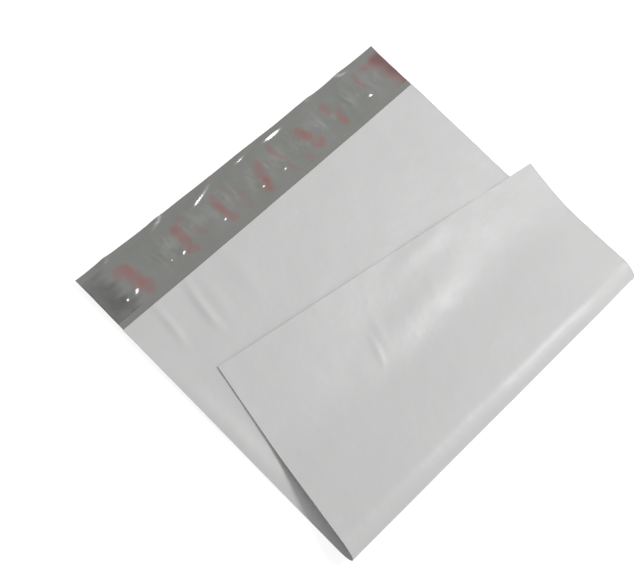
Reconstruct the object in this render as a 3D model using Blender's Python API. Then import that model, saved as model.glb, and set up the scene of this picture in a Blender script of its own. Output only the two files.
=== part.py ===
"""A poly mailer of white film, lying with its sealed end folded back over its front panel.

Sizes are in millimetres and become metres where a mesh is made. A place on the film is given
by u, its distance from the left edge, and v, its distance from the free edge of the lip. The
film's outer face, the one that lies on the table, is the surface that everything is built on.
"""

import math

import bpy
import numpy as np

METRE = 0.001

# The mailer laid out flat
WIDTH = 250.0
BODY_LENGTH = 300.0
LIP_LENGTH = 38.0
FILM = 0.06
WELD = 1.5
WELD_SPACE = 0.05
PANEL_SPACE = 0.3
PANEL_EASE = 12.0

# The adhesive on the lip and the liner that covers it
STRIP_CENTRE = 19.0
ADHESIVE_WIDTH = 18.0
ADHESIVE_THICKNESS = 0.1
LINER_WIDTH = 30.0
LINER_THICKNESS = 0.04
SEAT_GAP = 0.3

# The fold: a soft roll whose outermost line runs at a small angle across the film
FOLD_DISTANCE = 208.1
FOLD_ANGLE = math.radians(5.0)
BULB_LENGTH = 24.0
BULB_TILT = math.radians(12.0)
LANDING_LENGTH = 45.0
RESTING_GAP = 0.3

# Curled corners and puckers at the lip
CURL_HEIGHT = 3.0
CURL_REACH = 150.0
PUCKER_HEIGHT = 0.9
PUCKER_COUNT = 5
PUCKER_REACH = 70.0

# How finely the surface is divided
COLUMNS = 24
FLAT_ROWS = 6
FOLD_ROWS = 26
END_ROWS = 4
CURVE_STEP = 0.02

# Sizes that follow from the others
LENGTH = LIP_LENGTH + BODY_LENGTH
MAILER_THICKNESS = 2 * FILM + PANEL_SPACE


def eased(x):
    """Rises smoothly from 0 to 1 as x goes from 0 to 1: three x squared less two x cubed."""
    x = np.clip(x, 0.0, 1.0)
    return x * x * (3.0 - 2.0 * x)


def straight_run():
    """Film between the bulb and the landing.

    The bulb climbs higher than the landing comes down. The straight stretch between them
    slopes at the bulb's tilt and takes up the difference, so the film ends at its first level.
    """
    middles = (np.arange(1000) + 0.5) / 1000
    climb = BULB_LENGTH * np.sin((math.pi + BULB_TILT) * eased(middles)).mean()
    drop = LANDING_LENGTH * np.sin(BULB_TILT * (1.0 - eased(middles))).mean()
    return (climb - drop) / math.sin(BULB_TILT)


RUN_LENGTH = straight_run()
ROLL_LENGTH = BULB_LENGTH + RUN_LENGTH + LANDING_LENGTH


def roll_curve():
    """The section of the roll, square to its rulings.

    Returns the distance along the film from the ruling where it lifts off the table, and the
    way out and the height that it comes to. The heading turns by half a turn plus the tilt
    over the bulb, holds, and turns back by the tilt over the landing.
    """
    film = np.arange(0.0, LENGTH, CURVE_STEP)
    heading = (math.pi + BULB_TILT) * eased(film / BULB_LENGTH)
    heading -= BULB_TILT * eased((film - BULB_LENGTH - RUN_LENGTH) / LANDING_LENGTH)
    middle = 0.5 * (heading[1:] + heading[:-1])
    out = np.concatenate([[0.0], np.cumsum(np.cos(middle)) * CURVE_STEP])
    height = np.concatenate([[0.0], np.cumsum(np.sin(middle)) * CURVE_STEP])
    return film, out, height


ROLL_FILM, ROLL_OUT, ROLL_HEIGHT = roll_curve()
ROLL_REACH = ROLL_OUT.max()


def curl(u, v):
    """Height of the curled lip corners and of the puckers along the lip, never below zero."""
    side = np.abs(2.0 * u / WIDTH - 1.0)
    corners = CURL_HEIGHT * side ** 4 * eased(1.0 - v / CURL_REACH)
    wave = 0.5 - 0.5 * np.cos(2.0 * math.pi * PUCKER_COUNT * u / WIDTH)
    return corners + PUCKER_HEIGHT * wave * eased(1.0 - v / PUCKER_REACH)


def ruling(u, rolled):
    """Distance from the lip's free edge at u, on the ruling so far past the one that lifts."""
    return FOLD_DISTANCE + (rolled - ROLL_REACH + u * math.sin(FOLD_ANGLE)) / math.cos(FOLD_ANGLE)


def place(u, v):
    """Point of the outer face at u, v.

    The film keeps its place along the rulings. Across them it follows the section of the roll
    once it is past the ruling where it lifts, and through the bulb it rises by what keeps the
    folded panels clear of those they lie on.
    """
    sine, cosine = math.sin(FOLD_ANGLE), math.cos(FOLD_ANGLE)
    along = u * cosine + (v - FOLD_DISTANCE) * sine
    rolled = (v - FOLD_DISTANCE) * cosine - u * sine + ROLL_REACH
    out = np.where(rolled > 0.0, np.interp(rolled, ROLL_FILM, ROLL_OUT), rolled) - ROLL_REACH
    clear = (2.0 * MAILER_THICKNESS + RESTING_GAP) * eased(rolled / BULB_LENGTH)
    x = along * cosine - out * sine
    y = -FOLD_DISTANCE - along * sine - out * cosine
    z = np.interp(rolled, ROLL_FILM, ROLL_HEIGHT) + clear + curl(u, v)
    return np.stack([x, y, z], axis=-1)


def normal(u, v):
    """Unit normal of the outer face, pointing to the inside of the mailer."""
    nudge = 0.05
    across = place(u + nudge, v) - place(u - nudge, v)
    along = place(u, v + nudge) - place(u, v - nudge)
    upward = np.cross(along, across)
    return upward / np.linalg.norm(upward, axis=-1, keepdims=True)


def panel_space(u, v):
    """Space between the panels: small at the weld, full once it is eased away from it."""
    from_sides = np.minimum(u, WIDTH - u) - WELD
    from_weld = np.minimum(from_sides, LENGTH - v - WELD)
    return WELD_SPACE + (PANEL_SPACE - WELD_SPACE) * eased(from_weld / PANEL_EASE)


def columns():
    """Distances from the left edge: the welds' own edges and even steps between them."""
    return np.concatenate([[0.0], np.linspace(WELD, WIDTH - WELD, COLUMNS + 1), [WIDTH]])


def lip_rows():
    """Distances from the free edge: the edges of the liner, the adhesive and the mouth."""
    liner = 0.5 * LINER_WIDTH
    adhesive = 0.5 * ADHESIVE_WIDTH
    offsets = np.array([-liner, -adhesive, adhesive, liner])
    return np.concatenate([[0.0], STRIP_CENTRE + offsets])


def between(first, last, count):
    """Rows that go evenly from one row to another, with the first one left out."""
    shares = np.arange(1, count + 1)[:, None] / count
    return first + (last - first) * shares


def body_rows(u):
    """Rows of the body, from the mouth to the sealed bottom.

    Through the roll each row lies on a ruling, so that the film's facets are flat. Where the
    film would end before it has landed, the rulings close up there.
    """
    mouth = np.full_like(u, LIP_LENGTH)
    weld = np.full_like(u, LENGTH - WELD)
    lift = ruling(u, 0.0)
    landed = np.minimum(ruling(u, ROLL_LENGTH), lift + 0.97 * (weld - lift))
    rolled = between(lift, landed, FOLD_ROWS)
    flat = between(mouth, lift, FLAT_ROWS)
    end = between(rolled[-1], weld, END_ROWS)
    bottom = np.full_like(u, LENGTH)
    return np.vstack([mouth, flat, rolled, end, bottom])


def lattice(u, v, levels):
    """Points at the given heights above the outer face, as columns by rows by levels."""
    stacked = np.stack([np.broadcast_to(level, u.shape) for level in levels], axis=-1)
    return place(u, v)[:, :, None] + normal(u, v)[:, :, None] * stacked[..., None]


def skin(points, filled):
    """Vertices and outward triangles of the surface between filled and empty cells.

    Columns, rows and levels run to the right, towards the front and up, so a loop that turns
    from one to the next faces backwards and is reversed. Both faces of a thin wall are split
    along the same diagonal, so that they never cross.
    """
    numbers = np.arange(points[..., 0].size).reshape(points.shape[:3])
    padded = np.pad(filled, 1)
    triangles = []
    for axis in range(3):
        order = (axis, (axis + 1) % 3, (axis + 2) % 3)
        grid = numbers.transpose(order)
        cells = padded.transpose(order)[:, 1:-1, 1:-1]
        near, far = cells[:-1], cells[1:]
        a, b = grid[:, :-1, :-1], grid[:, 1:, :-1]
        c, d = grid[:, 1:, 1:], grid[:, :-1, 1:]
        ends, starts = near & ~far, far & ~near
        triangles += [np.stack([t[ends] for t in loop], axis=-1) for loop in ((a, d, c), (a, c, b))]
        triangles += [np.stack([t[starts] for t in loop], axis=-1) for loop in ((a, b, c), (a, c, d))]
    triangles = np.concatenate(triangles)
    used, renumbered = np.unique(triangles, return_inverse=True)
    return points.reshape(-1, 3)[used], renumbered.reshape(-1, 3)


def mailer_surface():
    """The film: one sheet for the back panel and its lip, one for the front, welded together."""
    sides = columns()
    body = body_rows(sides)
    lip = np.repeat(lip_rows()[:, None], sides.size, axis=1)
    v = np.vstack([lip, body]).T
    u = np.repeat(sides[:, None], v.shape[1], axis=1)
    space = panel_space(u, v)
    points = lattice(u, v, [0.0, FILM, FILM + space, 2.0 * FILM + space])
    filled = np.zeros((u.shape[0] - 1, u.shape[1] - 1, 3), dtype=bool)
    mouth_row = lip.shape[0]
    filled[:, :, 0] = True
    filled[:, mouth_row:, 2] = True
    filled[[0, -1], mouth_row:, 1] = True
    filled[:, -1, 1] = True
    return skin(points, filled)


def strip_surface(edges, bottom, thickness):
    """A flat strip along the lip between two of its rows, at a height above the outer face."""
    sides = columns()[1:-1]
    rows = lip_rows()
    rows = rows[(rows >= edges[0]) & (rows <= edges[1])]
    u, v = np.meshgrid(sides, rows, indexing="ij")
    points = lattice(u, v, [bottom, bottom + thickness])
    return skin(points, np.ones((u.shape[0] - 1, u.shape[1] - 1, 1), dtype=bool))


def plain_material(name, colour, roughness):
    """A Principled material with one colour and roughness."""
    material = bpy.data.materials.new(name)
    material.use_nodes = True
    shader = material.node_tree.nodes["Principled BSDF"]
    shader.inputs["Base Color"].default_value = (*colour, 1.0)
    shader.inputs["Roughness"].default_value = roughness
    shader.inputs["Metallic"].default_value = 0.0
    return material


def add_object(name, surface, centre, material):
    """A named object whose mesh is the surface, moved so that the centre is at the origin."""
    vertices, triangles = surface
    mesh = bpy.data.meshes.new(name)
    mesh.from_pydata(((vertices - centre) * METRE).tolist(), [], triangles.tolist())
    mesh.materials.append(material)
    mesh.shade_smooth()
    mesh.set_sharp_from_angle(angle=math.radians(40.0))
    part = bpy.data.objects.new(name, mesh)
    bpy.context.scene.collection.objects.link(part)
    return part


def main():
    for old in list(bpy.data.objects):
        bpy.data.objects.remove(old, do_unlink=True)

    film = mailer_surface()
    low, high = film[0].min(axis=0), film[0].max(axis=0)
    centre = np.array([0.5 * (low[0] + high[0]), 0.5 * (low[1] + high[1]), low[2]])
    add_object("mailer_film", film, centre, plain_material("white_film", (0.60, 0.60, 0.59), 0.35))

    half = 0.5 * ADHESIVE_WIDTH
    adhesive_level = FILM + SEAT_GAP
    adhesive = strip_surface((STRIP_CENTRE - half, STRIP_CENTRE + half), adhesive_level,
                             ADHESIVE_THICKNESS)
    add_object("adhesive_strip", adhesive, centre,
               plain_material("clear_adhesive", (0.24, 0.25, 0.24), 0.3))

    half = 0.5 * LINER_WIDTH
    liner_level = adhesive_level + ADHESIVE_THICKNESS + SEAT_GAP
    liner = strip_surface((STRIP_CENTRE - half, STRIP_CENTRE + half), liner_level,
                          LINER_THICKNESS)
    add_object("release_liner", liner, centre,
               plain_material("grey_liner", (0.21, 0.22, 0.20), 0.18))


main()
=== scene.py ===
"""The looks of a poly mailer: white film, a grey lip with its liner, and the loose fold.

The film is one surface worked out with numpy. A place on it is given by u, the distance from
the left edge, and v, the distance from the free edge of the lip, both in metres of flat film.
"""

import math

import bpy
import numpy as np
from bpy.props import FloatProperty, FloatVectorProperty, IntProperty, PointerProperty
from mathutils import Matrix, Vector


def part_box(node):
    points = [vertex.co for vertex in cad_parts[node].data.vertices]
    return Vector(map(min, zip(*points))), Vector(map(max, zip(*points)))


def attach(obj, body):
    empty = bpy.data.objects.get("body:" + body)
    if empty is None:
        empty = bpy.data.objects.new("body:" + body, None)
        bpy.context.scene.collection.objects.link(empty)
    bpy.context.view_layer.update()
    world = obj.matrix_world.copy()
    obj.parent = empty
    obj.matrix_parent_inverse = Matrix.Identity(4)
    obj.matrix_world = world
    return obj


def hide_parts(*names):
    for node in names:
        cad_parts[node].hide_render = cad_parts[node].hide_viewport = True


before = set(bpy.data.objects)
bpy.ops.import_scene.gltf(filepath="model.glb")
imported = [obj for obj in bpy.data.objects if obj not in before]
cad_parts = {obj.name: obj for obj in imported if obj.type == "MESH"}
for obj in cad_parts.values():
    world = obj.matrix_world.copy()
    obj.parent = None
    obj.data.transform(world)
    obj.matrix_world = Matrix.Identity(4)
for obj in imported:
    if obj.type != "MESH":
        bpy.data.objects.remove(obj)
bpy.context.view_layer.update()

bl_info = {
    "name": "Folded Poly Mailer",
    "version": (1, 0, 0),
    "blender": (4, 5, 0),
    "location": "View3D > Sidebar > Mailer",
    "description": "Builds a film mailing bag with its sealed end folded over its front",
    "category": "Object",
}

FILM_LOW, FILM_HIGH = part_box("mailer_film")
MILLIMETRE = 0.001
NUDGE = 0.00005

# Strips on the lip, in metres: margins at their ends, and heights above the lip's outer face
ADHESIVE_MARGIN = 0.0015
LINER_MARGIN = 0.0005
ADHESIVE_LOW, ADHESIVE_HIGH = 0.00012, 0.00024
LINER_LOW, LINER_LIFT, LINER_THICKNESS = 0.00008, 0.00024, 0.00004
LINER_LIFT_WIDTH = 0.006

# Stage: bearings and heights in degrees, distances in metres
LAMP_BEARING, LAMP_HEIGHT = 62.65, 56.7
LAMP_DISTANCE, LAMP_SIZE, LAMP_POWER = 0.9675, 0.28, 4.9
WORLD_STRENGTH = 0.55
FLOOR_DROP = 0.0003
CAMERA_BEARING, CAMERA_HEIGHT, CAMERA_ROLL = -75.866, 67.085, 31.092
CAMERA_DISTANCE = 0.41207
CAMERA_LENS, CAMERA_SENSOR = 39.375, 36.0
AIM_FROM_LEFT, AIM_FROM_LIP = 0.09935, 0.09406

# Raised wrinkles of the front panel at the mouth: start u, v, end u, v, bow, width, height, mm
MOUTH_WRINKLES = (
    (21.0, 33.0, 17.5, 71.0, -1.2, 1.6, 1.15),
    (46.0, 32.0, 39.0, 80.0, 2.0, 2.2, 1.50),
    (53.0, 32.0, 48.0, 80.0, 0.5, 4.0, 0.60),
    (73.0, 32.0, 67.0, 84.0, -2.0, 5.5, 0.60),
    (206.0, 32.0, 214.0, 80.0, 4.0, 6.0, 0.40),
)

# Soft swellings and wrinkles of the whole film, in the same terms
FILM_WRINKLES = (
    (82.5, 310.0, 76.5, 281.0, 1.5, 1.4, 0.55),
    (90.0, 315.0, 86.0, 292.0, 1.0, 2.6, 0.30),
    (107.0, 293.0, 105.0, 285.0, 0.4, 1.0, 0.18),
    (180.0, 314.0, 48.0, 292.0, 4.0, 11.0, 1.45),
    (178.0, 336.0, 112.0, 327.0, 0.0, 6.0, 0.85),
    (160.0, 334.0, 157.0, 306.0, 1.0, 1.4, 0.25),
    (136.0, 318.0, 131.0, 298.0, 1.0, 2.2, 0.20),
    (96.0, 326.0, 93.0, 318.0, 0.5, 1.2, 0.18),
    (2.5, 44.0, 4.5, 196.0, 0.0, 5.5, 1.20),
    (30.0, 60.0, 24.0, 170.0, 2.0, 9.0, 0.45),
    (222.0, 60.0, 227.0, 160.0, 4.0, 10.0, 0.90),
    (246.0, 50.0, 246.0, 150.0, 0.0, 3.5, 0.45),
)

# Lifted folds along the lip's free edge, in the same terms
EDGE_FOLDS = (
    (12.5, 4.0, 24.0, -2.2, 0.0, 1.6, 1.08),
    (45.0, 4.6, 67.0, -3.4, 0.3, 1.7, 1.08),
    (67.0, 9.0, 104.0, -0.8, 1.7, 1.9, 0.98),
    (111.0, 3.4, 133.0, 0.9, 0.4, 1.5, 0.84),
    (133.0, 2.5, 167.0, 2.4, 1.0, 1.8, 0.91),
    (180.0, -0.6, 193.0, 0.9, 0.0, 1.5, 0.82),
    (205.0, -2.0, 230.0, 3.4, 0.0, 1.6, 0.97),
)

# Puckers of the liner, in the same terms
LINER_PUCKERS = (
    (10.0, 27.8, 15.0, 24.4, 0.0, 1.2, 0.58),
    (15.0, 28.1, 23.5, 22.7, 0.0, 1.5, 0.77),
    (50.0, 27.4, 59.0, 23.3, 0.0, 1.5, 0.72),
    (84.0, 26.7, 91.0, 24.7, 0.0, 1.2, 0.51),
    (115.5, 26.1, 123.5, 25.0, 0.0, 1.3, 0.55),
    (135.5, 25.8, 142.5, 25.5, 0.0, 1.2, 0.49),
    (216.0, 23.2, 225.5, 26.0, 0.0, 1.5, 0.70),
    (38.0, 9.0, 42.5, 28.0, -0.6, 1.0, 0.50),
    (43.5, 12.0, 48.0, 29.0, 0.8, 1.2, 0.44),
    (40.0, 21.5, 51.0, 23.5, 2.0, 0.9, 0.40),
    (33.0, 12.0, 40.0, 18.0, 0.8, 1.0, 0.30),
    (52.0, 9.0, 51.0, 20.0, 0.5, 1.1, 0.30),
    (76.0, 12.0, 79.0, 29.0, 1.0, 1.2, 0.30),
    (98.5, 10.0, 97.0, 24.0, 0.8, 1.0, 0.30),
    (131.0, 9.0, 135.0, 28.0, -1.0, 1.1, 0.32),
    (153.0, 8.0, 155.0, 26.0, 1.0, 1.2, 0.34),
    (178.0, 9.0, 182.0, 29.0, 1.2, 1.1, 0.34),
    (204.0, 7.0, 212.0, 30.0, 2.0, 1.1, 0.50),
    (209.0, 8.0, 214.0, 24.0, 1.2, 1.0, 0.40),
)

# Printed bars of the liner: middle u, v, length, width, slant in degrees, strength; mm
PRINTED_BARS = (
    (24.0, 18.5, 20.0, 8.0, 8.0, 0.85),
    (20.5, 12.5, 8.0, 7.0, 62.0, 0.75),
    (27.0, 28.0, 8.0, 8.5, 40.0, 0.90),
    (60.5, 19.5, 20.0, 6.5, -5.6, 0.90),
    (61.5, 28.5, 6.0, 6.0, 20.0, 0.80),
    (68.0, 8.5, 7.0, 4.5, 50.0, 0.40),
    (71.5, 22.5, 9.0, 3.0, 24.0, 0.50),
    (90.5, 19.0, 18.0, 5.0, -2.0, 0.85),
    (92.5, 28.0, 7.0, 5.5, 18.0, 0.80),
    (101.0, 15.0, 10.0, 2.4, 16.0, 0.40),
    (105.5, 25.0, 13.0, 3.0, -3.0, 0.55),
    (126.0, 17.0, 13.0, 6.5, -16.0, 0.90),
    (123.0, 26.5, 11.0, 6.5, -20.0, 0.95),
    (142.0, 14.0, 13.0, 3.6, 4.0, 0.70),
    (144.0, 26.0, 12.0, 3.0, -4.0, 0.60),
    (165.5, 17.0, 13.0, 7.0, 16.0, 0.85),
    (169.0, 27.0, 9.0, 9.0, 10.0, 0.80),
    (157.0, 30.0, 6.0, 4.0, 0.0, 0.40),
    (158.5, 14.0, 9.0, 2.6, 30.0, 0.30),
    (190.0, 13.5, 11.0, 7.0, 18.0, 0.60),
    (194.5, 24.5, 13.0, 6.0, -8.0, 0.85),
    (223.0, 13.5, 13.0, 3.2, 4.0, 0.70),
    (233.0, 8.5, 7.0, 5.0, 75.0, 0.70),
)


class MailerSizes(bpy.types.PropertyGroup):
    """Sizes of the mailer, its fold and its mesh."""

    width: FloatProperty(
        name="Width", description="Width of the flat mailer, edge to edge",
        default=0.250, min=0.05, unit="LENGTH")
    body_length: FloatProperty(
        name="Body length", description="From the mouth to the sealed bottom",
        default=0.300, min=0.05, unit="LENGTH")
    lip_length: FloatProperty(
        name="Lip length", description="From the lip's free edge to the mouth",
        default=0.038, min=0.01, unit="LENGTH")
    film: FloatProperty(
        name="Film", description="Thickness of the film",
        default=0.00006, min=0.00002, precision=5, unit="LENGTH")
    panel_space: FloatProperty(
        name="Panel space", description="Space between the panels away from the welds",
        default=0.0003, min=0.0001, precision=5, unit="LENGTH")
    weld_space: FloatProperty(
        name="Weld space", description="Space left between the panels at the welds",
        default=0.00002, min=0.00001, precision=5, unit="LENGTH")
    panel_ease: FloatProperty(
        name="Panel ease", description="Distance from a weld over which the panels part",
        default=0.012, min=0.001, unit="LENGTH")
    bead_radius: FloatProperty(
        name="Bead radius", description="Radius of the molten bead along a side weld",
        default=0.00022, min=0.0001, precision=5, unit="LENGTH")
    fold_distance: FloatProperty(
        name="Fold distance", description="From the lip's free edge to the fold, on the left",
        default=0.2084, min=0.05, unit="LENGTH")
    fold_angle: FloatProperty(
        name="Fold angle", description="Angle between the fold and the mouth",
        default=math.radians(5.14), subtype="ANGLE")
    turn_length: FloatProperty(
        name="Turn length", description="Film in the tight outer turn of the fold",
        default=0.021, min=0.005, unit="LENGTH")
    turn_angle: FloatProperty(
        name="Turn angle", description="Turn of the film over that length",
        default=math.radians(173.0), subtype="ANGLE")
    crown_start: FloatProperty(
        name="Crown start", description="Film from the lift-off to where the crown begins to turn",
        default=0.021, min=0.005, unit="LENGTH")
    crown_length: FloatProperty(
        name="Crown length", description="Film over which the crown of the fold turns to its fall",
        default=0.007, min=0.005, unit="LENGTH")
    fall_angle: FloatProperty(
        name="Fall angle", description="Slope of the folded end behind the top of the fold",
        default=math.radians(12.0), subtype="ANGLE")
    growth: FloatProperty(
        name="Growth", description="How much higher the fold stands towards its right, as a share",
        default=0.22, min=0.0)
    end_sag: FloatProperty(
        name="End sag", description="Share of the growth that is lost again at the right edge",
        default=1.0, min=0.0, max=1.0)
    landing_length: FloatProperty(
        name="Landing length", description="Film that bends back as the end comes to rest",
        default=0.030, min=0.005, unit="LENGTH")
    resting_gap: FloatProperty(
        name="Resting gap", description="Between the folded end and the front panel",
        default=0.0009, min=0.0003, precision=5, unit="LENGTH")
    curl_height: FloatProperty(
        name="Curl height", description="Rise of the lip's corners",
        default=0.003, min=0.0, unit="LENGTH")
    curl_reach: FloatProperty(
        name="Curl reach", description="Length over which the corners' curl dies out",
        default=0.150, min=0.01, unit="LENGTH")
    adhesive_width: FloatProperty(
        name="Adhesive width", description="Width of the adhesive strip",
        default=0.018, min=0.002, unit="LENGTH")
    liner_width: FloatProperty(
        name="Liner width", description="Width of the release liner",
        default=0.030, min=0.004, unit="LENGTH")
    strip_centre: FloatProperty(
        name="Strip centre", description="From the free edge to the middle of the adhesive",
        default=0.019, min=0.004, unit="LENGTH")
    columns: IntProperty(
        name="Columns", description="Faces across the width of each panel",
        default=150, min=10)


class MailerColours(bpy.types.PropertyGroup):
    """Colours of the film, the liner, the print and the stage."""

    white_film: FloatVectorProperty(
        name="White film", description="Outer face of the film",
        default=(0.572, 0.569, 0.569), size=3, min=0.0, max=1.0, subtype="COLOR")
    grey_film: FloatVectorProperty(
        name="Grey film", description="Inner face of the film",
        default=(0.208, 0.213, 0.20), size=3, min=0.0, max=1.0, subtype="COLOR")
    liner: FloatVectorProperty(
        name="Liner", description="Liner where nothing is printed",
        default=(0.175, 0.18, 0.168), size=3, min=0.0, max=1.0, subtype="COLOR")
    print_red: FloatVectorProperty(
        name="Print", description="Bars on the liner",
        default=(0.242, 0.103, 0.096), size=3, min=0.0, max=1.0, subtype="COLOR")
    adhesive: FloatVectorProperty(
        name="Adhesive", description="Adhesive over the grey film",
        default=(0.20, 0.205, 0.19), size=3, min=0.0, max=1.0, subtype="COLOR")
    floor: FloatVectorProperty(
        name="Floor", description="Floor of the stage",
        default=(0.95, 0.95, 0.95), size=3, min=0.0, max=1.0, subtype="COLOR")


def eased(x):
    """Rises smoothly from 0 to 1 as x goes from 0 to 1: three x squared less two x cubed."""
    x = np.clip(x, 0.0, 1.0)
    return x * x * (3.0 - 2.0 * x)


def ridges(u, v, rows):
    """Height of a set of bowed ridges.

    Along a ridge t goes from 0 to 1 and its crest is bowed sideways by four bows times t times
    one less t. Across it the height falls off as a bell curve of the ridge's width, and along
    it as sixteen times t squared times one less t squared.
    """
    total = np.zeros_like(u)
    for u0, v0, u1, v1, bow, width, height in np.asarray(rows) * MILLIMETRE:
        length = math.hypot(u1 - u0, v1 - v0)
        along_u, along_v = (u1 - u0) / length, (v1 - v0) / length
        t = np.clip(((u - u0) * along_u + (v - v0) * along_v) / length, 0.0, 1.0)
        across = (v - v0) * along_u - (u - u0) * along_v - 4.0 * bow * t * (1.0 - t)
        bell = np.exp(-((across / width) ** 2))
        total += height * bell * 16.0 * t ** 2 * (1.0 - t) ** 2
    return total


def undulation(u, v, pitch, height, seed):
    """Sum of nine plane waves in seeded directions, raised so that it is never below zero."""
    waves = 9
    draw = np.random.default_rng(seed)
    total = np.zeros_like(u)
    for _ in range(waves):
        turn, phase, stretch = draw.uniform(0.0, 2.0 * math.pi, 3)
        length = pitch * (1.0 + 0.6 * math.sin(stretch))
        total += np.cos(2.0 * math.pi * (u * math.cos(turn) + v * math.sin(turn)) / length + phase)
    return height * np.clip(0.5 + total / waves, 0.0, 1.0)


class FoldedFilm:
    """The outer face of the film: flat, then a soft roll, then flat again, with its relief."""

    def __init__(self, sizes):
        self.s = sizes
        self.length = sizes.lip_length + sizes.body_length
        self.crown_end = sizes.crown_start + sizes.crown_length
        self.film = np.arange(0.0, self.length, 0.00002)
        middles = (np.arange(1000) + 0.5) / 1000
        climb = self.crown_end * np.sin(self.heading(self.crown_end * middles)).mean()
        drop = sizes.landing_length * np.sin(sizes.fall_angle * (1.0 - eased(middles))).mean()
        self.run = (climb - drop) / math.sin(sizes.fall_angle)
        self.roll_length = self.crown_end + self.run + sizes.landing_length
        self.make_section()

    def heading(self, film):
        """Heading of the film as it climbs: a tight turn, then the turn of the crown."""
        s = self.s
        rest = math.pi - s.turn_angle + s.fall_angle
        turned = s.turn_angle * eased(film / s.turn_length)
        return turned + rest * eased((film - s.crown_start) / s.crown_length)

    def make_section(self):
        """Works out the section of the fold, square to its line.

        The heading climbs as above, holds over the straight run, and turns back by the fall
        angle over the landing. The way out and the height are its integrals.
        """
        s, step = self.s, self.film[1]
        landing = eased((self.film - self.crown_end - self.run) / s.landing_length)
        heading = self.heading(self.film) - s.fall_angle * landing
        middle = 0.5 * (heading[1:] + heading[:-1])
        self.out = np.concatenate([[0.0], np.cumsum(np.cos(middle)) * step])
        self.height = np.concatenate([[0.0], np.cumsum(np.sin(middle)) * step])
        self.reach = self.out.max()

    def rolled(self, u, v):
        """Distance along the film past the line where it lifts off the table."""
        s = self.s
        across = (v - s.fold_distance) * math.cos(s.fold_angle) - u * math.sin(s.fold_angle)
        return across + self.reach

    def ruling(self, u, rolled):
        """Distance from the lip's free edge at u, where the film has rolled so far."""
        s = self.s
        across = rolled - self.reach + u * math.sin(s.fold_angle)
        return s.fold_distance + across / math.cos(s.fold_angle)

    def base(self, u, v):
        """Point of the smooth film: it keeps its place along the fold and rolls across it.

        The height is swelled by the growth, which eases in from left to right and, over the last
        fifth of the width, is lost again by the share of the end sag. The film rises by what
        keeps the folded end clear, and at the lip's corners by the curl, which goes as the
        fourth power of the distance from the middle.
        """
        s = self.s
        sine, cosine = math.sin(s.fold_angle), math.cos(s.fold_angle)
        along = u * cosine + (v - s.fold_distance) * sine
        rolled = self.rolled(u, v)
        out = np.where(rolled > 0.0, np.interp(rolled, self.film, self.out), rolled) - self.reach
        thickness = 2.0 * s.film + s.panel_space
        swell = s.growth * eased(u / s.width) * (1.0 - s.end_sag * eased(5.0 * u / s.width - 4.0))
        height = np.interp(rolled, self.film, self.height) * (1.0 + swell)
        rise = (2.0 * thickness + s.resting_gap) * eased(rolled / s.turn_length)
        side = np.abs(2.0 * u / s.width - 1.0)
        rise = rise + s.curl_height * side ** 4 * eased(1.0 - v / s.curl_reach)
        x = FILM_LOW.x + along * cosine - out * sine
        y = FILM_HIGH.y - s.fold_distance - along * sine - out * cosine
        return np.stack([x, y, height + rise], axis=-1)

    @staticmethod
    def unit_normal(surface, u, v):
        """Unit normal of a surface, towards the inside of the bag, from small differences."""
        across = surface(u + NUDGE, v) - surface(u - NUDGE, v)
        along = surface(u, v + NUDGE) - surface(u, v - NUDGE)
        inward = np.cross(along, across)
        return inward / np.linalg.norm(inward, axis=-1, keepdims=True)

    def lip_waves(self, u, v):
        """Puckers across the lip, and the lift of its free edge in long shallow waves."""
        s = self.s
        lip = s.lip_length
        slow = 0.5 - 0.5 * np.cos(2.0 * math.pi * u / (0.2 * s.width))
        puckers = 0.9 * MILLIMETRE * slow * eased(1.0 - v / (1.75 * lip))
        fine = np.cos(2.0 * math.pi * (u + 0.25 * v + 0.004 * np.sin(u / 0.011)) / 0.0215)
        window = eased(v / 0.006) * eased((1.2 * lip - v) / 0.014)
        edge = 0.5 + 0.5 * np.cos(2.0 * math.pi * (u - 0.020) / 0.0395 + np.sin(u / 0.03))
        lifted = 0.5 * MILLIMETRE * edge ** 2 * np.exp(-(v / 0.0065) ** 2)
        folds = ridges(u, v, EDGE_FOLDS)
        return puckers + 0.05 * MILLIMETRE * (1.0 + fine) * window + lifted + folds

    def edge_ripple(self, u, v):
        """Small ripples that the welds draw into the side edges and the bottom."""
        s = self.s
        side = np.minimum(u, s.width - u)
        bottom = self.length - v
        wave = 0.5 + 0.5 * np.sin(2.0 * math.pi * v / 0.0117 + 1.7 * np.sin(v / 0.019))
        across = 0.5 + 0.5 * np.sin(2.0 * math.pi * u / 0.0163 + 2.1 * np.sin(u / 0.023))
        ripple = wave * np.exp(-(side / 0.0035) ** 2) + across * np.exp(-(bottom / 0.003) ** 2)
        return 0.16 * MILLIMETRE * ripple

    def relief(self, u, v):
        """Height of everything that both panels share, all of it raised and never sunk."""
        soft = undulation(u, v, 0.085, 0.55 * MILLIMETRE, 4)
        small = undulation(u, v, 0.026, 0.10 * MILLIMETRE, 11)
        creases = ridges(u, v, FILM_WRINKLES)
        return soft + small + creases + self.lip_waves(u, v) + self.edge_ripple(u, v)

    def point(self, u, v):
        """Point of the outer face with its relief, which points up on both sides of the fold."""
        normal = self.unit_normal(self.base, u, v)
        return self.base(u, v) + normal * (normal[..., 2] * self.relief(u, v))[..., None]

    def panel_space(self, u, v):
        """Space between the panels: small at the welds and full once it has eased away."""
        s = self.s
        from_weld = np.minimum(np.minimum(u, s.width - u), self.length - v)
        full = s.panel_space - s.weld_space
        lifted = ridges(u, v, MOUTH_WRINKLES)
        return s.weld_space + full * eased(from_weld / s.panel_ease) + lifted

    def level(self, u, v, height):
        """Points at a height off the outer face, along its normal towards the inside."""
        return self.point(u, v) + self.unit_normal(self.point, u, v) * height[..., None]

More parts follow.
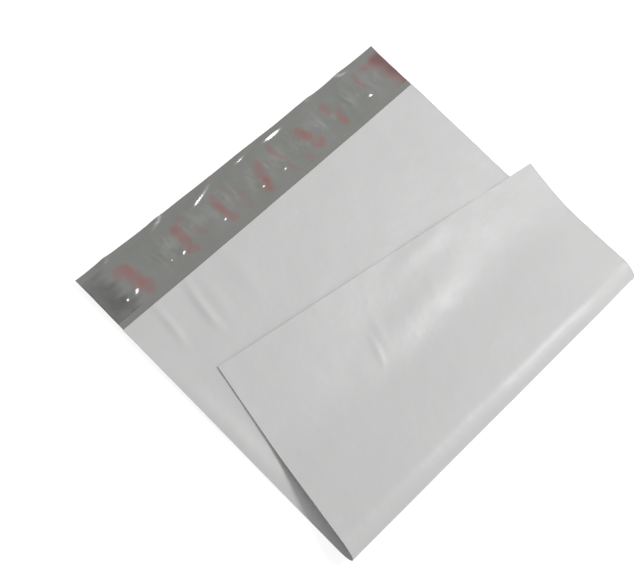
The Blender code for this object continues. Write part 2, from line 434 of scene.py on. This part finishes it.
    def body_rows(self, u, flat_rows=100, fold_rows=90, end_rows=24):
        """Rows from the mouth to the bottom, which run along the fold where the film rolls."""
        s = self.s
        mouth = np.full_like(u, s.lip_length)
        bottom = np.full_like(u, self.length)
        lift = self.ruling(u, 0.0)
        shares = np.arange(1, fold_rows + 1)[:, None] / fold_rows
        rolled = self.ruling(u, self.roll_length * shares ** 1.3)
        flat = mouth + (lift - mouth) * np.arange(1, flat_rows + 1)[:, None] / flat_rows
        end = rolled[-1] + (bottom - rolled[-1]) * np.arange(1, end_rows + 1)[:, None] / end_rows
        return np.vstack([mouth, flat, rolled, end])


def sheet_object(name, u, v, lower, upper, materials):
    """A closed thin sheet between two grids of points, with its flat place as its UV map.

    Face number i of a grid joins its column and row to the next ones. The lower face takes the
    first material, the upper face and the rim take the second.
    """
    columns, rows = u.shape
    number = np.arange(columns * rows).reshape(columns, rows)
    a, b = number[:-1, :-1], number[1:, :-1]
    c, d = number[1:, 1:], number[:-1, 1:]
    below = np.stack([a, b, c, d], axis=-1).reshape(-1, 4)
    above = np.stack([a, d, c, b], axis=-1).reshape(-1, 4) + number.size
    around = np.concatenate([number[:, 0], number[-1, 1:], number[-2::-1, -1], number[0, -2:0:-1]])
    following = np.roll(around, -1)
    rim = np.stack([around, around + number.size, following + number.size, following], axis=-1)
    faces = np.concatenate([below, above, rim])
    points = np.concatenate([lower.reshape(-1, 3), upper.reshape(-1, 3)])
    mesh = bpy.data.meshes.new(name)
    mesh.from_pydata(points.tolist(), [], faces.tolist())
    for material in materials:
        mesh.materials.append(material)
    slots = np.zeros(len(faces), dtype=np.int32)
    slots[len(below):] = len(materials) - 1
    mesh.polygons.foreach_set("material_index", slots)
    flat = np.stack([u.ravel(), v.ravel()], axis=-1)
    flat = np.concatenate([flat, flat])
    layer = mesh.uv_layers.new(name="flat_film")
    layer.uv.foreach_set("vector", flat[faces.ravel()].astype(np.float32).ravel())
    mesh.shade_smooth()
    mesh.set_sharp_from_angle(angle=math.radians(50.0))
    piece = bpy.data.objects.new(name, mesh)
    bpy.context.scene.collection.objects.link(piece)
    return piece


def add_value(piece, name, values):
    """Stores one number for each point of both faces of a sheet."""
    both = np.concatenate([values.ravel(), values.ravel()]).astype(np.float32)
    attribute = piece.data.attributes.new(name, "FLOAT", "POINT")
    attribute.data.foreach_set("value", both)


def seat(piece, node):
    """Makes a piece stand for its node, which is hidden, and ride with the bag."""
    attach(piece, "root")
    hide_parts(node)


class NodeTree:
    """Short ways to add and join the nodes of one material."""

    def __init__(self, name):
        self.material = bpy.data.materials.new(name)
        self.material.use_nodes = True
        self.tree = self.material.node_tree
        self.shader = self.tree.nodes["Principled BSDF"]

    def node(self, kind, **values):
        """A node of a kind, with its settings and the plain values of its inputs."""
        made = self.tree.nodes.new(kind)
        for key, value in values.items():
            if key in made.inputs:
                made.inputs[key].default_value = value
            else:
                setattr(made, key, value)
        return made

    def join(self, out, into):
        """Links an output to an input."""
        self.tree.links.new(out, into)

    def coordinates(self, source, scale):
        """Object or UV coordinates, stretched by a Mapping node."""
        place = self.node("ShaderNodeTexCoord")
        mapping = self.node("ShaderNodeMapping", Scale=scale)
        self.join(place.outputs[source], mapping.inputs["Vector"])
        return mapping.outputs["Vector"]

    def noise(self, source, scale, detail=3.0):
        """A noise pattern in Object or UV coordinates."""
        made = self.node("ShaderNodeTexNoise", Scale=1.0, Detail=detail)
        self.join(self.coordinates(source, scale), made.inputs["Vector"])
        return made.outputs["Fac"]

    def spread(self, factor, low, high, start=0.35):
        """Maps a pattern, from its start up to 0.65, onto low to high."""
        made = self.node("ShaderNodeMapRange", **{
            "From Min": start, "From Max": 0.65, "To Min": low, "To Max": high})
        self.join(factor, made.inputs["Value"])
        return made.outputs["Result"]

    def product(self, first, second):
        """One pattern times another."""
        made = self.node("ShaderNodeMath", operation="MULTIPLY")
        self.join(first, made.inputs[0])
        self.join(second, made.inputs[1])
        return made.outputs[0]

    def blend(self, factor, first, second):
        """Mixes two colours, or a colour and an output, by a pattern."""
        made = self.node("ShaderNodeMix", data_type="RGBA")
        self.join(factor, made.inputs["Factor"])
        for colour, socket in ((first, made.inputs[6]), (second, made.inputs[7])):
            if isinstance(colour, bpy.types.NodeSocket):
                self.join(colour, socket)
            else:
                socket.default_value = (*colour, 1.0)
        return made.outputs[2]

    def bump(self, height, strength, distance, before=None):
        """A bump from a pattern, on top of an earlier one."""
        made = self.node("ShaderNodeBump", Strength=strength, Distance=distance)
        self.join(height, made.inputs["Height"])
        if before is not None:
            self.join(before, made.inputs["Normal"])
        return made.outputs["Normal"]


def scaled(colour, factor):
    """A colour made lighter or darker, each part times the factor."""
    return tuple(min(1.0, part * factor) for part in colour)


def film_material(name, colour, roughness, tint):
    """Blown film: faint clouds of tone, fine lines along the bag, and a slight orange peel."""
    made = NodeTree(name)
    clouds = made.noise("Object", (14.0, 14.0, 14.0))
    warm = tuple(part * shift for part, shift in zip(colour, tint))
    mixed = made.blend(made.spread(clouds, 0.0, 1.0), colour, warm)
    made.join(mixed, made.shader.inputs["Base Color"])
    lines = made.noise("UV", (160.0, 2.0, 1.0))
    uneven = made.spread(made.noise("Object", (45.0, 45.0, 45.0)), roughness - 0.04, roughness + 0.05)
    made.join(uneven, made.shader.inputs["Roughness"])
    dimples = made.noise("Object", (75.0, 75.0, 75.0), detail=2.0)
    first = made.bump(lines, 0.05, 0.0004, made.bump(dimples, 0.4, 0.001))
    peel = made.noise("Object", (620.0, 620.0, 620.0), detail=2.0)
    made.join(made.bump(peel, 0.10, 0.00025, first), made.shader.inputs["Normal"])
    made.shader.inputs["IOR"].default_value = 1.51
    made.shader.inputs["Specular IOR Level"].default_value = 0.4
    return made.material


def liner_material(colours):
    """Glossy liner: grey, with printed bars from the ink value, worn by a fine noise, and painted
    shade darkening its left end.
    """
    made = NodeTree("liner_gloss")
    clouds = made.spread(made.noise("Object", (38.0, 38.0, 38.0)), 0.0, 1.0)
    cool = tuple(part * shift for part, shift in zip(colours.liner, (0.94, 0.98, 0.93)))
    warm = tuple(part * shift for part, shift in zip(colours.liner, (1.10, 1.06, 1.09)))
    grey = made.blend(clouds, cool, warm)
    # Lighter patches along the middle of the liner, between the bars.
    light_patches = made.node("ShaderNodeAttribute", attribute_name="light_patches").outputs["Fac"]
    light_patch_noise = made.product(light_patches, made.spread(made.noise("UV", (170.0, 90.0, 1.0)), 0.0, 0.65, 0.45))
    patch_lightened = made.blend(light_patch_noise, grey, scaled(colours.liner, 1.45))
    # Painted shade: the liner is darkened towards its left end, where the lip curls up.
    left_end_shade = made.node("ShaderNodeAttribute", attribute_name="left_end_shade").outputs["Fac"]
    patchy_end_shade = made.product(left_end_shade, made.spread(made.noise("Object", (95.0, 95.0, 95.0)), 0.5, 1.0))
    end_shaded = made.blend(patchy_end_shade, patch_lightened, scaled(colours.liner, 0.45))
    ink = made.node("ShaderNodeAttribute", attribute_name="ink").outputs["Fac"]
    worn = made.product(ink, made.spread(made.noise("Object", (150.0, 150.0, 150.0)), 0.45, 1.0))
    printed = made.blend(worn, end_shaded, tuple(colours.print_red))
    deep = made.node("ShaderNodeAttribute", attribute_name="deep").outputs["Fac"]
    printed = made.blend(deep, printed, scaled(colours.print_red, 0.62))
    made.join(printed, made.shader.inputs["Base Color"])
    peel = made.noise("Object", (420.0, 420.0, 420.0), detail=2.0)
    made.join(made.bump(peel, 0.10, 0.0003), made.shader.inputs["Normal"])
    made.shader.inputs["Roughness"].default_value = 0.20
    made.shader.inputs["IOR"].default_value = 1.5
    made.shader.inputs["Coat Weight"].default_value = 0.6
    made.shader.inputs["Coat Roughness"].default_value = 0.07
    return made.material


def adhesive_material(colours):
    """Hot-melt adhesive: grey through its clear body, lumpy and a little glossy."""
    made = NodeTree("hot_melt")
    lumps = made.noise("Object", (130.0, 130.0, 130.0))
    tone = made.blend(lumps, scaled(colours.adhesive, 0.85), scaled(colours.adhesive, 1.15))
    made.join(tone, made.shader.inputs["Base Color"])
    made.join(made.bump(lumps, 0.3, 0.0005), made.shader.inputs["Normal"])
    made.shader.inputs["Roughness"].default_value = 0.28
    return made.material


def film_materials(colours):
    """The white outer face and the grey inner face, made once and shared."""
    white = bpy.data.materials.get("film_white")
    grey = bpy.data.materials.get("film_grey")
    if white is None:
        white = film_material("film_white", tuple(colours.white_film), 0.42, (0.985, 1.0, 0.985))
    if grey is None:
        grey = film_material("film_grey", tuple(colours.grey_film), 0.24, (1.03, 0.99, 1.01))
    return white, grey


class MAILER_OT_back_panel(bpy.types.Operator):
    """Adds the back panel with its lip, white on the outer face and grey on the inner one"""

    bl_idname = "mailer.back_panel"
    bl_label = "Back panel and lip"

    def execute(self, context):
        sizes = context.scene.mailer_sizes
        film = FoldedFilm(sizes)
        sides = np.linspace(0.0, sizes.width, sizes.columns + 1)
        lip = np.linspace(0.0, sizes.lip_length, 31)[:-1]
        lip = np.repeat(lip[:, None], sides.size, axis=1)
        v = np.vstack([lip, film.body_rows(sides)]).T
        u = np.repeat(sides[:, None], v.shape[1], axis=1)
        outer = film.point(u, v)
        inner = film.level(u, v, np.full_like(u, sizes.film))
        white, grey = film_materials(context.scene.mailer_colours)
        panel = sheet_object("back_panel", u, v, outer, inner, (white, grey))
        seat(panel, "mailer_film")
        return {"FINISHED"}


class MAILER_OT_front_panel(bpy.types.Operator):
    """Adds the front panel, whose mouth edge stands a little off the back panel"""

    bl_idname = "mailer.front_panel"
    bl_label = "Front panel"

    def execute(self, context):
        sizes = context.scene.mailer_sizes
        film = FoldedFilm(sizes)
        sides = np.linspace(0.0, sizes.width, sizes.columns + 1)
        v = film.body_rows(sides).T
        u = np.repeat(sides[:, None], v.shape[1], axis=1)
        inner_level = sizes.film + film.panel_space(u, v)
        inner = film.level(u, v, inner_level)
        outer = film.level(u, v, inner_level + sizes.film)
        white, grey = film_materials(context.scene.mailer_colours)
        panel = sheet_object("front_panel", u, v, inner, outer, (grey, white))
        seat(panel, "mailer_film")
        return {"FINISHED"}


def tube_object(name, path, aside, radius, material):
    """A round bead along a path: a circle in the plane of the aside vectors and the normals."""
    around = np.linspace(0.0, 2.0 * math.pi, 9)[:-1]
    forward = np.gradient(path, axis=0)
    forward /= np.linalg.norm(forward, axis=-1, keepdims=True)
    across = np.cross(forward, aside)
    across /= np.linalg.norm(across, axis=-1, keepdims=True)
    ring = aside[:, None] * np.cos(around)[None, :, None]
    ring = ring + across[:, None] * np.sin(around)[None, :, None]
    points = (path[:, None] + radius * ring).reshape(-1, 3)
    number = np.arange(len(points)).reshape(len(path), 8)
    following = np.roll(number, -1, axis=1)
    walls = np.stack([number[:-1], following[:-1], following[1:], number[1:]], axis=-1)
    faces = walls.reshape(-1, 4).tolist() + [number[0, ::-1].tolist(), number[-1].tolist()]
    mesh = bpy.data.meshes.new(name)
    mesh.from_pydata(points.tolist(), [], faces)
    mesh.materials.append(material)
    mesh.shade_smooth()
    piece = bpy.data.objects.new(name, mesh)
    bpy.context.scene.collection.objects.link(piece)
    return piece


class MAILER_OT_weld_beads(bpy.types.Operator):
    """Adds the thin molten bead along each side weld"""

    bl_idname = "mailer.weld_beads"
    bl_label = "Weld beads"

    def execute(self, context):
        sizes = context.scene.mailer_sizes
        film = FoldedFilm(sizes)
        white, _ = film_materials(context.scene.mailer_colours)
        for name, place in (("weld_bead_left", 0.0), ("weld_bead_right", sizes.width)):
            v = film.body_rows(np.array([place]))[:, 0]
            u = np.full_like(v, place)
            middle = sizes.film + 0.5 * sizes.weld_space
            path = film.level(u, v, np.full_like(u, middle))
            inward = film.unit_normal(film.point, u, v)
            bead = tube_object(name, path, inward, sizes.bead_radius, white)
            seat(bead, "mailer_film")
        return {"FINISHED"}


def strip_grid(sizes, width, margin, columns, rows):
    """Places of a strip across the lip, with a margin left at both of its ends."""
    sides = np.linspace(margin, sizes.width - margin, columns + 1)
    along = sizes.strip_centre + width * np.linspace(-0.5, 0.5, rows + 1)
    return np.meshgrid(sides, along, indexing="ij")


class MAILER_OT_adhesive(bpy.types.Operator):
    """Adds the strip of hot-melt adhesive on the lip"""

    bl_idname = "mailer.adhesive"
    bl_label = "Adhesive strip"

    def execute(self, context):
        sizes = context.scene.mailer_sizes
        film = FoldedFilm(sizes)
        u, v = strip_grid(sizes, sizes.adhesive_width, ADHESIVE_MARGIN, 150, 12)
        low = film.level(u, v, np.full_like(u, ADHESIVE_LOW))
        high = film.level(u, v, np.full_like(u, ADHESIVE_HIGH))
        material = adhesive_material(context.scene.mailer_colours)
        strip = sheet_object("adhesive_strip_lumpy", u, v, low, high, (material,))
        seat(strip, "adhesive_strip")
        return {"FINISHED"}


def liner_crinkles(u, v):
    """Short seeded ridges over the liner, and the puckers that catch the light."""
    draw = np.random.default_rng(23)
    count = 60
    start_u = draw.uniform(6.0, 244.0, count)
    start_v = draw.uniform(7.0, 24.0, count)
    length = draw.uniform(5.0, 13.0, count)
    turn = math.pi / 2.0 + draw.uniform(-0.6, 0.6, count)
    rows = np.stack([start_u, start_v, start_u + length * np.cos(turn),
                     start_v + length * np.sin(turn), draw.uniform(-1.5, 1.5, count),
                     draw.uniform(0.7, 1.5, count), draw.uniform(0.02, 0.10, count)], axis=-1)
    return ridges(u, v, rows) + ridges(u, v, LINER_PUCKERS)


def printed_ink(u, v):
    """Strength of the print: slanted bars with soft uneven edges, and a patch at the right."""
    u, v = u / MILLIMETRE, v / MILLIMETRE
    ink = np.zeros_like(u)
    for centre_u, centre_v, length, width, slant, strength in PRINTED_BARS:
        turn = math.radians(slant)
        wander = 0.5 * np.sin(0.35 * v + centre_u) + 0.25 * np.sin(0.8 * v + 0.3 * u)
        du, dv = u - centre_u + wander, v - centre_v
        along = du * math.sin(turn) + dv * math.cos(turn)
        across = du * math.cos(turn) - dv * math.sin(turn)
        beyond = np.maximum(np.abs(along) - 0.5 * (length - width), 0.0)
        distance = np.hypot(across, beyond) - 0.5 * width
        ink = np.maximum(ink, strength * eased(0.5 - distance / 4.2))
    return np.maximum(ink, end_patch(u, v, 231.0, 13.0))


def end_patch(u, v, start, soft):
    """Strength of the printed patch at the right end, which begins at start; all in mm."""
    edge = start + 0.30 * (v - 8.0) + np.sin(0.5 * v)
    return eased((u - edge) / soft) * eased((v - 3.5) / 5.0)


def liner_light_patches(u, v):
    """Lighter patches between the bars: strongest along the middle of the liner, none at its ends."""
    u, v = u / MILLIMETRE, v / MILLIMETRE
    across = np.exp(-(((v - 18.0) / 8.5) ** 2))
    return across * eased((u - 28.0) / 20.0) * eased((246.0 - u) / 14.0)


def painted_left_end_shade(u, v):
    """Painted shade at the left end of the liner, where the lip curls up: strongest low down and at
    the edge.
    """
    u, v = u / MILLIMETRE, v / MILLIMETRE
    ragged = 13.0 + 0.22 * (v - 8.0) + 2.0 * np.sin(0.5 * v) + 1.2 * np.sin(1.3 * v + 1.0)
    return eased((ragged + 3.0 - u) / 10.0) * eased((v + 3.0) / 14.0)


class MAILER_OT_liner(bpy.types.Operator):
    """Adds the release liner over the adhesive, with its crinkles and printed bars"""

    bl_idname = "mailer.liner"
    bl_label = "Release liner"

    def execute(self, context):
        sizes = context.scene.mailer_sizes
        film = FoldedFilm(sizes)
        u, v = strip_grid(sizes, sizes.liner_width, LINER_MARGIN, 480, 60)
        from_edge = 0.5 * sizes.liner_width - np.abs(v - sizes.strip_centre)
        height = LINER_LOW + LINER_LIFT * eased(from_edge / LINER_LIFT_WIDTH)
        height = height + liner_crinkles(u, v)
        low = film.level(u, v, height)
        high = film.level(u, v, height + LINER_THICKNESS)
        material = liner_material(context.scene.mailer_colours)
        liner = sheet_object("release_liner_gloss", u, v, low, high, (material,))
        add_value(liner, "ink", printed_ink(u, v))
        # Painted shade at the liner's left end.
        add_value(liner, "left_end_shade", painted_left_end_shade(u, v))
        add_value(liner, "light_patches", liner_light_patches(u, v))
        add_value(liner, "deep", end_patch(u / MILLIMETRE, v / MILLIMETRE, 237.0, 9.0))
        seat(liner, "release_liner")
        return {"FINISHED"}


def area_light(name, azimuth, elevation, distance, size, power):
    """A square soft light that faces the origin from a bearing and a height."""
    data = bpy.data.lights.new(name, "AREA")
    data.shape = "RECTANGLE"
    data.size, data.size_y = size, size
    data.energy = power
    lamp = bpy.data.objects.new(name, data)
    a, e = math.radians(azimuth), math.radians(elevation)
    back = Vector((math.sin(a) * math.cos(e), -math.cos(a) * math.cos(e), math.sin(e)))
    lamp.location = back * distance
    lamp.rotation_euler = back.to_track_quat("Z", "Y").to_euler()
    bpy.context.scene.collection.objects.link(lamp)


def camera_place(aim, azimuth, elevation, roll, distance):
    """Where the camera stands: a bearing, a height and a turn about its own axis, in degrees."""
    a, e, r = math.radians(azimuth), math.radians(elevation), math.radians(roll)
    back = Vector((math.sin(a) * math.cos(e), -math.cos(a) * math.cos(e), math.sin(e)))
    level = Vector((math.cos(a), math.sin(a), 0.0))
    up = back.cross(level)
    right = level * math.cos(r) + up * math.sin(r)
    up = up * math.cos(r) - level * math.sin(r)
    turn = Matrix((right, up, back)).transposed().to_4x4()
    return Matrix.Translation(aim + back * distance) @ turn


def seen_rays(tree):
    """One for rays that show their end: camera, glossy and transmission rays; else nothing."""
    rays = tree.nodes.new("ShaderNodeLightPath")
    found = rays.outputs["Is Camera Ray"]
    for name in ("Is Glossy Ray", "Is Transmission Ray"):
        either = tree.nodes.new("ShaderNodeMath")
        either.operation = "MAXIMUM"
        tree.links.new(found, either.inputs[0])
        tree.links.new(rays.outputs[name], either.inputs[1])
        found = either.outputs[0]
    return found


def floor_material(colour):
    """Pale floor that keeps shadows but shows nearly white to the camera and in reflections."""
    made = NodeTree("pale_floor")
    made.shader.inputs["Base Color"].default_value = (*colour, 1.0)
    made.shader.inputs["Roughness"].default_value = 0.9
    made.shader.inputs["Specular IOR Level"].default_value = 0.1
    white = made.node("ShaderNodeEmission", Color=(1.0, 1.0, 1.0, 1.0), Strength=1.30)
    share = made.node("ShaderNodeMath", operation="MULTIPLY")
    share.inputs[1].default_value = 0.6
    made.join(seen_rays(made.tree), share.inputs[0])
    mixed = made.node("ShaderNodeMixShader")
    made.join(share.outputs[0], mixed.inputs["Fac"])
    made.join(made.shader.outputs[0], mixed.inputs[1])
    made.join(white.outputs[0], mixed.inputs[2])
    made.join(mixed.outputs[0], made.tree.nodes["Material Output"].inputs["Surface"])
    return made.material


def set_world(strength):
    """Even white light from all round, shown as plain white to the camera and in reflections."""
    world = bpy.data.worlds.new("studio")
    world.use_nodes = True
    tree = world.node_tree
    lit = tree.nodes["Background"]
    lit.inputs["Color"].default_value = (1.0, 1.0, 1.0, 1.0)
    lit.inputs["Strength"].default_value = strength
    shown = tree.nodes.new("ShaderNodeBackground")
    shown.inputs["Color"].default_value = (1.0, 1.0, 1.0, 1.0)
    shown.inputs["Strength"].default_value = 1.0
    mixed = tree.nodes.new("ShaderNodeMixShader")
    tree.links.new(seen_rays(tree), mixed.inputs["Fac"])
    tree.links.new(lit.outputs[0], mixed.inputs[1])
    tree.links.new(shown.outputs[0], mixed.inputs[2])
    tree.links.new(mixed.outputs[0], tree.nodes["World Output"].inputs["Surface"])
    bpy.context.scene.world = world


class MAILER_OT_stage(bpy.types.Operator):
    """Adds the floor, the lights and the camera"""

    bl_idname = "mailer.stage"
    bl_label = "Stage"

    def execute(self, context):
        scene = context.scene
        bpy.ops.mesh.primitive_plane_add(size=8.0, location=(0.0, 0.0, -FLOOR_DROP))
        floor = context.object
        floor.name = "floor"
        floor.data.materials.append(floor_material(tuple(scene.mailer_colours.floor)))
        set_world(WORLD_STRENGTH)
        area_light("key_softbox", LAMP_BEARING, LAMP_HEIGHT, LAMP_DISTANCE, LAMP_SIZE, LAMP_POWER)
        camera_data = bpy.data.cameras.new("camera")
        camera_data.sensor_width = CAMERA_SENSOR
        camera_data.lens = CAMERA_LENS
        camera_data.clip_start = 0.01
        camera = bpy.data.objects.new("camera", camera_data)
        aim = Vector((FILM_LOW.x + AIM_FROM_LEFT, FILM_HIGH.y - AIM_FROM_LIP, 0.0))
        camera.matrix_world = camera_place(
            aim, CAMERA_BEARING, CAMERA_HEIGHT, CAMERA_ROLL, CAMERA_DISTANCE)
        scene.collection.objects.link(camera)
        scene.camera = camera
        scene.view_settings.view_transform = "Standard"
        return {"FINISHED"}


PIECE_OPERATORS = (
    MAILER_OT_back_panel,
    MAILER_OT_front_panel,
    MAILER_OT_weld_beads,
    MAILER_OT_adhesive,
    MAILER_OT_liner,
)


class MAILER_PT_sidebar(bpy.types.Panel):
    """Sizes, colours and the steps that build the mailer"""

    bl_idname = "MAILER_PT_sidebar"
    bl_label = "Poly Mailer"
    bl_space_type = "VIEW_3D"
    bl_region_type = "UI"
    bl_category = "Mailer"

    def draw(self, context):
        for group in (context.scene.mailer_sizes, context.scene.mailer_colours):
            box = self.layout.box()
            for key in group.__annotations__:
                box.prop(group, key)
        for operator in (MAILER_OT_stage, *PIECE_OPERATORS):
            self.layout.operator(operator.bl_idname)


CLASSES = (MailerSizes, MailerColours, MAILER_OT_stage, *PIECE_OPERATORS, MAILER_PT_sidebar)


def register():
    """Registers the classes and puts the sizes and colours on the scene."""
    for each in CLASSES:
        bpy.utils.register_class(each)
    bpy.types.Scene.mailer_sizes = PointerProperty(type=MailerSizes)
    bpy.types.Scene.mailer_colours = PointerProperty(type=MailerColours)


def unregister():
    """Takes the properties and classes away again."""
    del bpy.types.Scene.mailer_colours
    del bpy.types.Scene.mailer_sizes
    for each in reversed(CLASSES):
        bpy.utils.unregister_class(each)


def main():
    register()
    bpy.ops.mailer.stage()
    bpy.ops.mailer.back_panel()
    bpy.ops.mailer.front_panel()
    bpy.ops.mailer.weld_beads()
    bpy.ops.mailer.adhesive()
    bpy.ops.mailer.liner()


if __name__ == "__main__":
    main()
